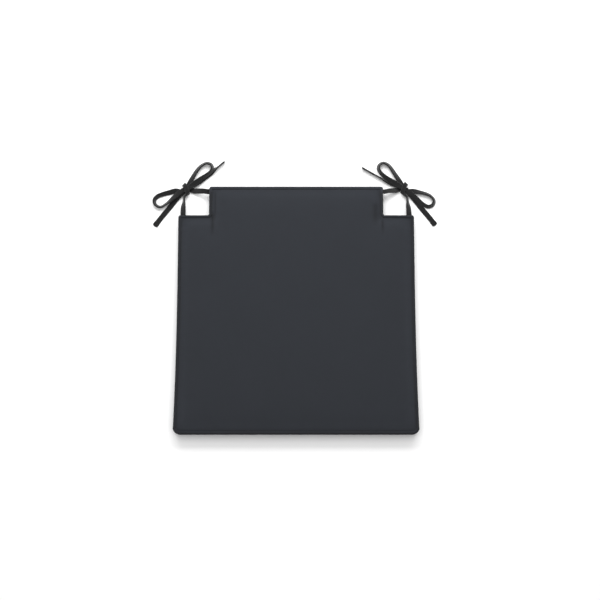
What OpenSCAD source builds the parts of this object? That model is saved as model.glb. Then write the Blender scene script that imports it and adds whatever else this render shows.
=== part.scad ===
// Boxed chair seat pad with a welted edge, two post notches at the back,
// four ties knotted into two bows, and a zip in the back boxing.
// X runs left to right, +Y to the tie side, +Z up. Millimetres.
// The origin is the middle of the footprint, on the surface the pad lies on.

/* [Pad] */
// Width across the front, over the welts
front_w = 430; // [400:1:460]
// Width across the back of the sides, over the welts
back_w = 419; // [390:1:440]
// Depth from front to back, over the welts
pad_depth = 440; // [420:1:460]
// Width of the tongue between the two post notches
tongue_w = 310; // [306:1:314]
// Depth of each post notch
notch_d = 52; // [48:1:56]
// Height of the crowned top at the middle
crown_h = 31.5; // [29:0.5:34]

/* [Cover] */
// Thickness of the cover cloth
cloth_t = 1; // [0.6:0.1:1.2]
// Diameter of the covered welt
welt_d = 6; // [5:0.5:7]
// Diameter of the filler cord inside the welt
filler_d = 4; // [3:0.5:4.5]
// Height from the underside to the top of the upper welt
edge_h = 27; // [26:0.5:29]

/* [Filling] */
// Thickness of the lower wadding
wadding_t = 3; // [2:0.5:4]
// Thickness of the foam slab
foam_t = 18; // [14:1:20]

/* [Zip] */
// Distance between the zip's end tabs
zip_len = 282; // [240:2:284]
// Height of the gap between the two cloth strips
zip_gap = 5; // [4.5:0.5:6]

/* [Ties] */
// Width of the folded and stitched tape
tie_w = 9.5; // [8:0.5:10]
// Thickness of the tape
tie_t = 2.2; // [1.6:0.1:2.4]

/* [Hidden] */

cloth = [0.21, 0.22, 0.24];
cloth_dark = [0.17, 0.175, 0.19];
tape_black = [0.13, 0.13, 0.14];
white = [0.92, 0.92, 0.9];
foam_cream = [0.93, 0.88, 0.72];
metal_black = [0.2, 0.2, 0.21];

// Where the layers lie, as insets from the outermost line of the welts
welt_r = welt_d / 2;
boxing_in = welt_r;
boxing_back = boxing_in + cloth_t;
panel_in = welt_d;
upper_z = edge_h - welt_r;
lower_z = welt_r;
boxing_lo = welt_d;
boxing_hi = edge_h - welt_d;
foam_lo = cloth_t + wadding_t;
foam_hi = foam_lo + foam_t;

// Corner radii at the outermost line, and the least radius of an inner layer
front_r = 12;
side_r = 4;
tongue_r = 4;
inner_r = 3;
least_r = 0.8;
most_r = 12;

front_y = -pad_depth / 2;
back_y = pad_depth / 2;
notch_y = back_y - notch_d;

// The sides run nearly parallel at the back and flare towards the front
function side_x(y) =
  let (t = (notch_y - y) / (notch_y - front_y))
  back_w / 2 + (front_w - back_w) / 2 * pow(min(max(t, 0), 1), 3);

function arc(cx, cy, r, a0, a1, n) =
  [for (i = [0:n]) let (a = a0 + (a1 - a0) * i / n) [cx + r * cos(a), cy + r * sin(a)]];

// Right half of the outline, from the front corner round to the tongue's back corner
function half_outline(s) =
  let (
    rf = max(front_r - s, least_r),
    rs = max(side_r - s, least_r),
    rt = max(tongue_r - s, least_r),
    rn = min(inner_r + s, most_r),
    yf = front_y + s,
    yn = notch_y - s,
    yb = back_y - s,
    xt = tongue_w / 2 - s,
    steps = 5
  )
  concat(
    arc(front_w / 2 - s - rf, yf + rf, rf, -90, 0, 5),
    [for (i = [1:steps]) let (y = yf + rf + (yn - rs - yf - rf) * i / (steps + 1)) [side_x(y) - s, y]],
    arc(back_w / 2 - s - rs, yn - rs, rs, 0, 90, 3),
    arc(xt + rn, yn + rn, rn, 270, 180, 3),
    arc(xt - rt, yb - rt, rt, 0, 90, 3)
  );

function mirrored(points) =
  [for (i = [len(points) - 1:-1:0]) [-points[i][0], points[i][1]]];

// Whole outline, moved inwards by s
function outline(s) = concat(half_outline(s), mirrored(half_outline(s)));

// Points and side faces of a skin through one outline per [inset, height] pair
function skin_points(pairs) =
  [for (p = pairs) for (q = outline(p[0])) [q[0], q[1], p[1]]];
function skin_faces(rings, n, first, last) =
  [for (k = [first:last]) for (i = [0:n - 1])
    let (a = k * n, b = ((k + 1) % rings) * n, j = (i + 1) % n)
    [a + i, b + i, b + j, a + j]];

// A closed ring whose section is the given loop of [inset, height] pairs
module skin_ring(pairs) {
  n = len(outline(0));
  polyhedron(skin_points(pairs), skin_faces(len(pairs), n, 0, len(pairs) - 1), 4);
}

// A solid from the lowest outline to the highest, closed by flat caps
module skin_solid(pairs) {
  n = len(outline(0));
  m = len(pairs);
  caps = [[for (i = [0:n - 1]) i], [for (i = [n - 1:-1:0]) (m - 1) * n + i]];
  polyhedron(skin_points(pairs), concat(caps, skin_faces(m, n, 0, m - 2)), 4);
}

module slab(s, z0, z1) {
  translate([0, 0, z0]) linear_extrude(z1 - z0) polygon(outline(s));
}

module wall(s0, s1, z0, z1) {
  translate([0, 0, z0]) linear_extrude(z1 - z0) difference() {
    polygon(outline(s0));
    polygon(outline(s1));
  }
}

module block(lo, hi) {
  translate(lo) cube(hi - lo);
}

// Crown of the top: how far the cloth has risen at each inset
crown_in = [panel_in, 14, 34, 66];
crown_rise = [0, 0.44, 0.82, 1];
crown_lo = upper_z + 0.2;
function crown_pairs(drop) =
  [for (i = [0:len(crown_in) - 1])
    [crown_in[i], crown_lo + (crown_h - cloth_t - crown_lo) * crown_rise[i] + cloth_t - drop]];

// ---- Filling ----

// Back edge of the foam, set in to leave the zip its room
foam_back = back_y - 6.6;
seam_x = tongue_w / 2 - 6;

module foam_core() {
  color(foam_cream) difference() {
    union() {
      slab(panel_in, foam_lo, foam_hi);
      slab(boxing_back, boxing_lo, boxing_hi);
    }
    block([-seam_x, foam_back, foam_lo - 1], [seam_x, back_y, foam_hi + 1]);
  }
}

module wadding_lower() {
  color(white) slab(panel_in + cloth_t, cloth_t, foam_lo);
}

module wadding_upper() {
  color(white) skin_solid(concat([[panel_in, foam_hi]], crown_pairs(cloth_t)));
}

// ---- Cover ----

module top_panel() {
  color(cloth) difference() {
    skin_solid(concat([[panel_in, upper_z - 0.8]], crown_pairs(0)));
    skin_solid(concat([[panel_in, upper_z - 2]], crown_pairs(cloth_t)));
  }
}

module bottom_panel() {
  color(cloth) {
    slab(panel_in, 0, cloth_t);
    wall(panel_in, panel_in + cloth_t, cloth_t, lower_z);
  }
}

// Seams of the boxing: across the sides just before the notches, and at the tongue's corners
side_seam_y = notch_y - 6;

module boxing() {
  wall(boxing_in, boxing_back, boxing_lo, boxing_hi);
}

module boxing_main() {
  color(cloth) intersection() {
    boxing();
    block([-front_w, front_y - 1, 0], [front_w, side_seam_y, edge_h]);
  }
}

module boxing_notch(side) {
  color(cloth) intersection() {
    boxing();
    if (side > 0) block([seam_x, side_seam_y, 0], [front_w, back_y, edge_h]);
    else block([-front_w, side_seam_y, 0], [-seam_x, back_y, edge_h]);
  }
}

module zip_strip(z0, z1) {
  color(cloth) intersection() {
    boxing();
    block([-seam_x, side_seam_y, z0], [seam_x, back_y, z1]);
  }
}

zip_z = (boxing_lo + boxing_hi) / 2;
strip_face = back_y - boxing_in;
strip_back = back_y - boxing_back;

module zip_end_tabs() {
  color(cloth) for (x = [-seam_x, zip_len / 2])
    block(
      [x, strip_back, zip_z - zip_gap / 2],
      [x + seam_x - zip_len / 2, strip_face, zip_z + zip_gap / 2]
    );
}

// ---- Welts: a filler cord in a cloth casing, sewn all round each edge ----

// Flat-sided ring section, r from its centre to each flat
function welt_section(r, z) =
  [for (i = [0:7]) let (a = 22.5 + 45 * i, c = r / cos(22.5)) [welt_r + c * cos(a), z - c * sin(a)]];

module welt_casing(z) {
  color(cloth_dark) difference() {
    skin_ring(welt_section(welt_r, z));
    skin_ring(welt_section(filler_d / 2, z));
  }
}

module welt_filler(z) {
  color(white) skin_ring(welt_section(filler_d / 2, z));
}

// ---- Zip ----

tape_t = 0.6;
tape_half = 7;
coil_w = 1.6;
coil_t = 1.2;
wedge_gap = 1.4;
coil_end = zip_len / 2 - 3;

module zip_tape(side) {
  near = wedge_gap / 2;
  lo = side > 0 ? near : -tape_half;
  hi = side > 0 ? tape_half : -near;
  color(tape_black) block([-seam_x, strip_back - tape_t, zip_z + lo], [seam_x, strip_back, zip_z + hi]);
}

module zip_coil(side) {
  near = wedge_gap / 2;
  lo = side > 0 ? near : -near - coil_w;
  color(tape_black) block([-coil_end, strip_back, zip_z + lo], [coil_end, strip_back + coil_t, zip_z + lo + coil_w]);
}

// Two stops at the closed end, one on each coil, and one bridging both at the open end
stop_len = 2.4;
module zip_stops() {
  near = wedge_gap / 2;
  color(metal_black) {
    for (z = [near, -near - coil_w])
      block([coil_end, strip_back, zip_z + z], [coil_end + stop_len, strip_back + coil_t, zip_z + z + coil_w]);
    block(
      [-coil_end - stop_len, strip_back, zip_z - near - coil_w],
      [-coil_end, strip_back + coil_t, zip_z + near + coil_w]
    );
  }
}

// Slider, at rest near the closed end: two plates joined by a wedge, and a bridge for the pull
slider_x = zip_len / 2 - 12.5;
slider_len = 9;
plate_t = 1;
plate_half = 3.9;
plate_r = 2;
front_plate_y = strip_face + 0.6;
back_plate_y = strip_back - tape_t - 0.5 - plate_t;
bridge_half = 3.5;
bridge_post = 1;
bridge_hw = 0.6;
pin_r = 0.5;
pin_y = front_plate_y + plate_t + 0.8;
bridge_top = pin_y + pin_r + 0.3;
bridge_t = 0.7;

module slider_plate(y, half) {
  translate([slider_x, y + plate_t, zip_z]) rotate([90, 0, 0]) linear_extrude(plate_t) {
    translate([-slider_len / 2, -half]) square([slider_len - plate_r, 2 * half]);
    translate([-slider_len / 2, plate_r - half]) square([slider_len, 2 * (half - plate_r)]);
    for (z = [plate_r - half, half - plate_r])
      translate([slider_len / 2 - plate_r, z]) circle(plate_r, $fn = 32);
  }
}

module zip_slider() {
  color(metal_black) {
    slider_plate(front_plate_y, plate_half);
    slider_plate(back_plate_y, plate_half - 0.8);
    block([slider_x + 0.5, back_plate_y + plate_t, zip_z - 0.3], [slider_x + 3.5, front_plate_y, zip_z + 0.3]);
    for (x = [slider_x - bridge_half, slider_x + bridge_half - bridge_post])
      block([x, front_plate_y + plate_t, zip_z - bridge_hw], [x + bridge_post, bridge_top, zip_z + bridge_hw]);
    block(
      [slider_x - bridge_half, bridge_top, zip_z - bridge_hw],
      [slider_x + bridge_half, bridge_top + bridge_t, zip_z + bridge_hw]
    );
  }
}

// Pull: a pin under the bridge, two arms round it, and a tab with a rounded end and an eye
arm_in = 1.1;
arm_out = 2.1;
arm_len = 4.3;
tab_half = 2.8;
tab_len = 24;
eye_r = 1.2;

module zip_pull() {
  color(metal_black) translate([slider_x, pin_y, zip_z]) {
    translate([0, 0, -arm_out]) cylinder(h = 2 * arm_out, r = pin_r, $fn = 32);
    for (z = [-arm_out, arm_in])
      block([-arm_len, -pin_r, z], [0, pin_r, z + arm_out - arm_in]);
    rotate([90, 0, 0]) translate([0, 0, -pin_r]) linear_extrude(2 * pin_r) difference() {
      union() {
        translate([tab_half - tab_len, -tab_half]) square([tab_len - tab_half - arm_len, 2 * tab_half]);
        translate([tab_half - tab_len, 0]) circle(tab_half, $fn = 48);
      }
      translate([tab_half - tab_len, 0]) circle(eye_r, $fn = 32);
    }
  }
}

// ---- Ties ----
// Each route point is [x, y, z, heading, lean]: the place of the tape's middle, then the
// heading of its width in plan, and how far the width leans from flat (0) to upright (90).

side_tie_z = 19.7;
route_left_side = [
  [-201.5, notch_y - boxing_in, side_tie_z, 0, 0],
  [-201.5, 171, 19.7, 0, 0],
  [-201.7, 178, 17.8, 0, 15],
  [-201.8, 186, 14.5, -2, 35],
  [-201.5, 195, 10.5, -4, 66],
  [-201, 204, 7, -8, 72],
  [-200, 211.5, 4.6, -18, 35],
  [-197.5, 219, 3.6, -30, 0],
  [-193.5, 227.5, 3.8, -28, 12],
  [-189, 236, 4.2, -28, 25],
  [-184, 245.5, 4.3, -30, 38],
  [-178, 255, 4.7, -38, 46],
  [-170.5, 263, 5.1, -50, 54],
  [-161.5, 267.5, 5.6, -84, 60],
  [-153.8, 265, 7, -132, 62],
  [-150.8, 258, 8.4, -178, 64],
  [-153, 251, 9.3, -208, 62],
  [-161, 244.3, 9.1, -226, 56],
  [-171, 238, 8.8, -233, 48],
  [-184, 228.3, 7.8, -233, 22],
  [-198, 217.5, 6.9, -231, 0],
  [-206.5, 210.8, 5.6, -228, 0],
  [-213.5, 204, 3.2, -222, 0],
  [-220, 196, 1.8, -218, 0],
  [-229, 184.5, 1.3, -218, 0],
  [-241.5, 169, 1.3, -220, 0],
  [-254, 152.5, 1.3, -222, 0]
];
route_left_back = [
  [-tongue_w / 2 + boxing_in, 212.5, 17, 90, 30],
  [-158, 212.5, 17, 90, 30],
  [-166, 214, 14.6, 85, 30],
  [-175, 215.2, 9.5, 82, 22],
  [-182, 216.2, 4.4, 78, 10],
  [-188, 218, 1.9, 68, 0],
  [-193, 221.5, 1.5, 56, 0],
  [-198.3, 225.1, 1.8, 49, 0],
  [-200.9, 227, 3.4, 48, 0],
  [-202, 227.6, 6.6, 46, 0],
  [-201.3, 226.6, 9.8, 42, 0],
  [-199.5, 223.9, 11.9, 36, 0],
  [-197, 219, 12.4, 28, 0],
  [-195.2, 213.2, 11.8, 28, 0],
  [-194.8, 209.4, 9.6, 32, -8],
  [-196.4, 207.8, 6.2, 38, -8],
  [-199.4, 208.8, 3, 48, 0],
  [-203.6, 211.8, 1.6, 64, 0],
  [-208.5, 214.8, 1.6, 84, 0],
  [-216, 216.8, 2.4, 102, 16],
  [-228, 213.6, 4.4, 107, 40],
  [-239.5, 210.3, 4.9, 108, 50],
  [-248.8, 206.4, 5.1, 124, 56],
  [-254.6, 199.3, 5.2, 168, 60],
  [-252.4, 191, 5.2, 222, 62],
  [-244, 187, 5.2, 274, 60],
  [-232.5, 193, 5.7, 306, 58],
  [-219, 204.6, 8, 310, 32],
  [-206.5, 214.6, 9.4, 309, 6],
  [-198.5, 219.8, 9.5, 300, 0],
  [-188.5, 224.2, 7.8, 298, 10],
  [-177, 231, 4.2, 305, 20],
  [-165, 240.8, 2.6, 309, 14],
  [-154.5, 249.2, 2.3, 309, 12],
  [-147, 255.6, 4.2, 309, 48],
  [-139, 262.2, 5.2, 309, 78],
  [-128.5, 270.6, 5.2, 309, 84]
];
route_right_side = [
  [201, notch_y - boxing_in, side_tie_z, 180, 0],
  [201, 171, 19.7, 180, 0],
  [200.7, 178, 17.8, 180, 15],
  [200.4, 186, 14.5, 182, 35],
  [199.8, 195, 10.5, 184, 66],
  [199, 204, 7, 188, 72],
  [197.6, 212, 4.6, 200, 35],
  [194.5, 220, 3.6, 214, 0],
  [189.5, 228.5, 3.8, 214, 12],
  [184, 237.5, 4.2, 214, 25],
  [178, 247, 4.3, 214, 38],
  [172, 256.5, 4.7, 218, 46],
  [166, 264, 5.1, 234, 54],
  [157.5, 268, 5.6, 266, 60],
  [150.2, 264.4, 7, 312, 62],
  [147.9, 257, 8.4, 352, 64],
  [151.6, 248.8, 9.3, 394, 62],
  [160, 241, 9.1, 408, 56],
  [170.5, 234.3, 8.8, 414, 48],
  [182.5, 227.2, 7.8, 414, 22],
  [195, 219, 6.9, 412, 0],
  [202.5, 212.6, 5.6, 408, 0],
  [209.5, 205, 3.2, 404, 0],
  [216, 196.8, 1.8, 401, 0],
  [225.5, 184.5, 1.3, 400, 0],
  [237.5, 170, 1.3, 401, 0],
  [249.7, 154, 1.3, 403, 0]
];
route_right_back = [
  [tongue_w / 2 - boxing_in, 212.5, 17, 90, -30],
  [158, 212.5, 17, 90, -30],
  [165, 214.4, 14.6, 95, -30],
  [173, 216.2, 9.5, 99, -22],
  [179.5, 217.8, 4.4, 103, -10],
  [184.5, 219.8, 1.9, 112, 0],
  [189.2, 223.4, 1.5, 124, 0],
  [194.4, 226.8, 1.8, 131, 0],
  [196.9, 228.6, 3.4, 133, 0],
  [198, 229.2, 6.6, 135, 0],
  [197.3, 228.2, 9.8, 139, 0],
  [195.6, 225.5, 11.9, 145, 0],
  [193.2, 220.4, 12.4, 153, 0],
  [191.4, 214.6, 11.8, 153, 0],
  [191, 210.8, 9.6, 149, -8],
  [192.6, 209.2, 6.2, 142, -8],
  [195.6, 210.2, 3, 132, 0],
  [199.8, 213.1, 1.6, 116, 0],
  [204.5, 215.8, 1.6, 97, 0],
  [211, 216.4, 2.4, 80, -16],
  [222, 214, 4.4, 77, -40],
  [233, 211.2, 4.9, 74, -50],
  [241.8, 206.8, 5.1, 56, -56],
  [247.6, 199.3, 5.2, 12, -60],
  [245.6, 191.2, 5.2, -44, -62],
  [237.6, 187.4, 5.2, -92, -64],
  [227, 192.2, 5.8, -122, -64],
  [214, 203, 8, -128, -36],
  [202.5, 213.2, 9.4, -132, -6],
  [194.5, 220, 9.5, -126, 0],
  [184.5, 225.2, 7.8, -116, -10],
  [173, 230, 4.2, -112, -5],
  [161, 235.6, 4.3, -116, 45],
  [150, 241.3, 5.1, -118, 76],
  [141, 246.2, 5.2, -119, 82],
  [131, 251.8, 5.2, -120, 84],
  [118, 259.3, 5.2, -121, 85]
];

function unit(v) = v / norm(v);
function place(p) = [p[0], p[1], p[2]];
function width_way(p) = [cos(p[3]) * cos(p[4]), sin(p[3]) * cos(p[4]), sin(p[4])];
function along(route, i) =
  unit(place(route[min(i + 1, len(route) - 1)]) - place(route[max(i - 1, 0)]));

// Tape section: a flat strip with its four corners taken off
tape_edge = 0.7;
tape_section = let (w = tie_w / 2, t = tie_t / 2) [
  [w, tape_edge - t], [w, t - tape_edge], [w - tape_edge, t], [tape_edge - w, t],
  [-w, t - tape_edge], [-w, tape_edge - t], [tape_edge - w, -t], [w - tape_edge, -t]
];

function tape_ring(route, i) =
  let (
    t = along(route, i),
    w0 = width_way(route[i]),
    w = unit(w0 - t * (w0 * t)),
    n = cross(t, w)
  )
  [for (q = tape_section) place(route[i]) + w * q[0] + n * q[1]];

module tie(route) {
  k = len(tape_section);
  m = len(route);
  points = [for (i = [0:m - 1]) each tape_ring(route, i)];
  sides = [for (i = [0:m - 2]) for (j = [0:k - 1])
    let (a = i * k, b = a + k, c = (j + 1) % k)
    each [[a + j, a + c, b + c], [a + j, b + c, b + j]]];
  caps = [[for (j = [k - 1:-1:0]) j], [for (j = [0:k - 1]) (m - 1) * k + j]];
  color(tape_black) polyhedron(points, concat(sides, caps), 4);
}

foam_core();
wadding_lower();
wadding_upper();
top_panel();
bottom_panel();
boxing_main();
boxing_notch(-1);  // boxing_notch_left
boxing_notch(1);  // boxing_notch_right
zip_strip(zip_z + zip_gap / 2, boxing_hi);  // zip_strip_upper
zip_strip(boxing_lo, zip_z - zip_gap / 2);  // zip_strip_lower
zip_end_tabs();
welt_casing(upper_z);  // welt_upper_casing
welt_filler(upper_z);  // welt_upper_filler
welt_casing(lower_z);  // welt_lower_casing
welt_filler(lower_z);  // welt_lower_filler
zip_tape(1);  // zip_tape_upper
zip_tape(-1);  // zip_tape_lower
zip_coil(1);  // zip_coil_upper
zip_coil(-1);  // zip_coil_lower
zip_stops();
zip_slider();
zip_pull();
tie(route_left_side);  // tie_left_side
tie(route_left_back);  // tie_left_back
tie(route_right_side);  // tie_right_side
tie(route_right_back);  // tie_right_back
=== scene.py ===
import math

import bpy
import numpy as np
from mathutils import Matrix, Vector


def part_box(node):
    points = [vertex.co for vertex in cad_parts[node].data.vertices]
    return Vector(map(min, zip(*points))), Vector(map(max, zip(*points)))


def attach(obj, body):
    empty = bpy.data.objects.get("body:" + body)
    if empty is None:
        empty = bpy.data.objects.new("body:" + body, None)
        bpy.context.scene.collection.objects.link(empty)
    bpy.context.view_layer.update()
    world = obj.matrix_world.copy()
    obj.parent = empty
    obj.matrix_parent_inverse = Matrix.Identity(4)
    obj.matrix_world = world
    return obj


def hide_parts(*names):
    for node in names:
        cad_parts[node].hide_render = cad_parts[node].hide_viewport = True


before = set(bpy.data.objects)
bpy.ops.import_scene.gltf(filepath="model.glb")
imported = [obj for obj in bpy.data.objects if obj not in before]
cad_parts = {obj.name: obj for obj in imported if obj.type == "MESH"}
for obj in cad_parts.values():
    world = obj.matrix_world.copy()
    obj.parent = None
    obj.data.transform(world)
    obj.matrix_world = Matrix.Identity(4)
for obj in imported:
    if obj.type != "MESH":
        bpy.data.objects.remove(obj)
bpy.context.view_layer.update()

# ---- Top panel ----
# The face of the cover: one piece of charcoal plain-weave cloth, cut to the pad's pattern and
# sewn all round into the welt seam. The wadding below pushes it up into a low crown, and it
# pulls into short creases where the pattern turns the inner corners of the two post notches.
mm = 0.001
foot_lo, foot_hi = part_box("welt_lower_casing")
welt_r = (foot_hi.z - foot_lo.z) / 2
front_half = foot_hi.x
front_y = foot_lo.y
back_y = foot_hi.y
side_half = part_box("boxing_notch_right")[1].x + welt_r
tongue_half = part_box("zip_strip_upper")[1].x + 2 * welt_r
notch_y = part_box("boxing_main")[1].y + 2 * welt_r
front_r = 12 * mm
side_r = 4 * mm
tongue_r = 4 * mm
notch_r = 3 * mm
least_r = 0.8 * mm
most_r = 12 * mm


def side_at(y):
    """Half the pad's width at y: nearly straight at the back, flaring towards the front."""
    t = np.clip((notch_y - y) / (notch_y - front_y), 0, 1)
    return side_half + (front_half - side_half) * t ** 3


def crowded(t, both_ends=True):
    """A share of a length, with the points set closer together towards its end, or both ends."""
    if both_ends:
        return t - 0.55 * math.sin(2 * math.pi * t) / (2 * math.pi)
    return t + 0.55 * math.sin(math.pi * t) / math.pi


def panel_points(inset, cell):
    """A panel cut at that inset, as {(row, column): (x, y)}, and the steps of its edge in order."""
    inner = round(tongue_half / cell)
    outer = round((side_half - tongue_half) / cell)
    main = round((notch_y - front_y) / cell)
    tongue = round((back_y - notch_y) / cell)
    y0, y1, y2 = front_y + inset, notch_y - inset, back_y - inset
    x1 = tongue_half - inset
    corner = max(front_r - inset, least_r)
    hollow = min(notch_r + inset, most_r)
    points = {}
    for j in range(main + tongue + 1):
        if j <= main:
            y = y0 + (y1 - y0) * crowded(j / main)
        else:
            y = y1 + (y2 - y1) * crowded((j - main) / tongue)
        reach = inner + outer if j <= main else inner
        x2 = side_at(y) - inset
        for k in range(-reach, reach + 1):
            side = math.copysign(1, k)
            if abs(k) <= inner:
                x = x1 * crowded(abs(k) / inner, both_ends=False)
            else:
                x = x1 + (x2 - x1) * crowded((abs(k) - inner) / outer)
            a, b = x - (x2 - corner), y0 + corner - y
            if a > 0 and b > 0:
                pull = max(a, b) / math.hypot(a, b)
                points[j, k] = (side * (x2 - corner + a * pull), y0 + corner - b * pull)
                continue
            points[j, k] = (side * x, y)
            leg = hollow
            if j == main and abs(k) >= inner:
                leg = x - x1
            elif j > main and abs(k) == inner:
                leg = y - y1
            if leg < hollow:
                turn = math.radians(225 + (45 if j == main else -45) * leg / hollow)
                x, y_edge = x1 + hollow * (1 + math.cos(turn)), y1 + hollow * (1 + math.sin(turn))
                points[j, k] = (side * x, y_edge)
    cols, top = inner + outer, main + tongue
    edge = [(0, k) for k in range(-cols, cols + 1)]
    edge += [(j, cols) for j in range(1, main + 1)]
    edge += [(main, k) for k in range(cols - 1, inner - 1, -1)]
    edge += [(j, inner) for j in range(main + 1, top + 1)]
    edge += [(top, k) for k in range(inner - 1, -inner - 1, -1)]
    edge += [(j, -inner) for j in range(top - 1, main - 1, -1)]
    edge += [(main, k) for k in range(-inner - 1, -cols - 1, -1)]
    edge += [(j, -cols) for j in range(main - 1, 0, -1)]
    return points, edge


def panel_faces(points, first=0):
    """Quads between the points of a panel, whose numbers start at first."""
    number = {key: first + i for i, key in enumerate(points)}
    return [
        [number[j, k], number[j, k + 1], number[j + 1, k + 1], number[j + 1, k]]
        for j, k in points
        if (j, k + 1) in number and (j + 1, k + 1) in number and (j + 1, k) in number
    ], number


def from_seam(x, y, inset):
    """How far a place on a panel is from the panel's edge."""
    x = np.abs(x)
    x1, y1 = tongue_half - inset, notch_y - inset
    to_notch = np.where(x > x1, y1 - y, np.where(y > y1, x1 - x, np.hypot(x1 - x, y1 - y)))
    walls = (side_at(y) - inset - x, y - front_y - inset, back_y - inset - y, to_notch)
    soft = 5 * mm
    return np.maximum(0, -soft * np.log(sum(np.exp(-np.maximum(w, 0) / soft) for w in walls)))


def piece(name, points, faces, material, threads=None, wear_and_painted_shading=None):
    """A new mesh piece, smooth, that carries the lay of its threads and its wear, painted highlight
    and painted shade.
    """
    mesh = bpy.data.meshes.new(name)
    mesh.from_pydata([tuple(p) for p in points], [], faces)
    mesh.validate()
    mesh.polygons.foreach_set("use_smooth", [True] * len(mesh.polygons))
    if threads is not None:
        lay = mesh.attributes.new("threads", "FLOAT_VECTOR", "POINT")
        lay.data.foreach_set("vector", np.asarray(threads, np.float32).ravel())
    if wear_and_painted_shading is not None:
        wear_and_shading_mask = mesh.attributes.new("wear_and_painted_shading", "FLOAT", "POINT")
        wear_and_shading_mask.data.foreach_set("value", np.asarray(wear_and_painted_shading, np.float32))
    mesh.materials.append(material)
    made = bpy.data.objects.new(name, mesh)
    bpy.context.scene.collection.objects.link(made)
    return made


def wire(tree, kind, inputs, out=0, **settings):
    """Adds a node, sets or links its inputs, and gives one of its outputs."""
    made = tree.nodes.new(kind)
    for key, value in settings.items():
        setattr(made, key, value)
    for key, value in inputs.items() if isinstance(inputs, dict) else enumerate(inputs):
        if isinstance(value, bpy.types.NodeSocket):
            tree.links.new(value, made.inputs[key])
        else:
            made.inputs[key].default_value = value
    return made.outputs[out]


def sums(tree, operation, *inputs):
    """One step of arithmetic in a material."""
    return wire(tree, "ShaderNodeMath", inputs, operation=operation)


def blank(name):
    """A new material: its node tree and its shader."""
    material = bpy.data.materials.new(name)
    material.use_nodes = True
    return material, material.node_tree, material.node_tree.nodes["Principled BSDF"]


def mixed(tree, share, low, high):
    """A colour between two others."""
    return wire(tree, "ShaderNodeMix", {0: share, 6: (*low, 1), 7: (*high, 1)}, 2, data_type="RGBA")


def surfaced(tree, shader, colour, rough, height, strength, deep):
    """Gives a shader its colour, its roughness over the range of the height, and its relief."""
    tree.links.new(colour, shader.inputs["Base Color"])
    roughness = wire(tree, "ShaderNodeMapRange", [height, 0.0, 1.0, *rough])
    tree.links.new(roughness, shader.inputs["Roughness"])
    relief = wire(tree, "ShaderNodeBump", {"Strength": strength, "Distance": deep, "Height": height})
    tree.links.new(relief, shader.inputs["Normal"])


def woven(name, tone, thread, relief=0.5, sheen=0.25, gloss=0.25, slub=0.12, wear_and_shading_strength=0.3):
    """Plain-weave cloth: yarns over and under each other, thick and thin places, fuzz, painted shade
    in the weave's hollows, and wear with painted highlight and painted shade from each piece's
    attribute.
    """
    material, tree, shader = blank(name)
    lay = wire(tree, "ShaderNodeAttribute", {}, 1, attribute_name="threads")
    counted = wire(tree, "ShaderNodeVectorMath", {0: lay, "Scale": 1 / thread}, operation="SCALE")
    parts = tree.nodes.new("ShaderNodeSeparateXYZ")
    tree.links.new(counted, parts.inputs[0])
    u, v = parts.outputs[0], parts.outputs[1]
    warp = sums(tree, "SINE", sums(tree, "MULTIPLY", sums(tree, "FRACT", u), math.pi))
    weft = sums(tree, "SINE", sums(tree, "MULTIPLY", sums(tree, "FRACT", v), math.pi))
    step = sums(tree, "ADD", sums(tree, "FLOOR", u), sums(tree, "FLOOR", v))
    over = sums(tree, "FLOORED_MODULO", step, 2.0)
    warp_up = sums(tree, "MULTIPLY", warp, sums(tree, "MULTIPLY_ADD", weft, 0.5, 0.5))
    weft_up = sums(tree, "MULTIPLY", weft, sums(tree, "MULTIPLY_ADD", warp, 0.5, 0.5))
    height = wire(tree, "ShaderNodeMix", {0: over, 2: warp_up, 3: weft_up})
    along_warp = wire(tree, "ShaderNodeVectorMath", [counted, (0.8, 0.02, 1)], operation="MULTIPLY")
    along_weft = wire(tree, "ShaderNodeVectorMath", [counted, (0.02, 0.8, 1)], operation="MULTIPLY")
    warp_yarn = wire(tree, "ShaderNodeTexNoise", {"Vector": along_warp, "Scale": 1, "Detail": 2})
    weft_yarn = wire(tree, "ShaderNodeTexNoise", {"Vector": along_weft, "Scale": 1, "Detail": 2})
    yarn = wire(tree, "ShaderNodeMix", {0: over, 2: warp_yarn, 3: weft_yarn})
    cloud = wire(tree, "ShaderNodeTexNoise", {"Vector": lay, "Scale": 14, "Detail": 3})
    fuzz = wire(tree, "ShaderNodeTexNoise", {"Vector": lay, "Scale": 2600, "Detail": 2})
    shade = sums(tree, "MULTIPLY_ADD", yarn, 2 * slub, 1 - slub)
    shade = sums(tree, "MULTIPLY", shade, sums(tree, "MULTIPLY_ADD", cloud, 0.12, 0.94))
    # Painted shade in the weave: the yarns' crowns are lighter and the hollows between them darker.
    shade = sums(tree, "MULTIPLY", shade, sums(tree, "MULTIPLY_ADD", height, 0.3, 0.82))
    # The attribute set on each piece lightens or darkens the cloth: partly wear, partly painted
    # highlight and painted shade.
    wear_and_shading_mask = wire(tree, "ShaderNodeAttribute", {}, 2, attribute_name="wear_and_painted_shading")
    wear_and_shading_mask = sums(tree, "MULTIPLY", wear_and_shading_mask, sums(tree, "MULTIPLY_ADD", cloud, 0.8, 0.2))
    shade = sums(tree, "MULTIPLY", shade, sums(tree, "MULTIPLY_ADD", wear_and_shading_mask, wear_and_shading_strength, 1.0))
    colour = wire(tree, "ShaderNodeVectorMath", {0: tone, "Scale": shade}, operation="SCALE")
    surface = sums(tree, "ADD", height, sums(tree, "MULTIPLY", fuzz, 0.5))
    surfaced(tree, shader, colour, (0.96, 0.88), surface, relief, 0.35 * thread)
    shader.inputs["Sheen Weight"].default_value = sheen
    shader.inputs["Sheen Roughness"].default_value = 0.45
    shader.inputs["Specular IOR Level"].default_value = gloss
    return material


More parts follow.
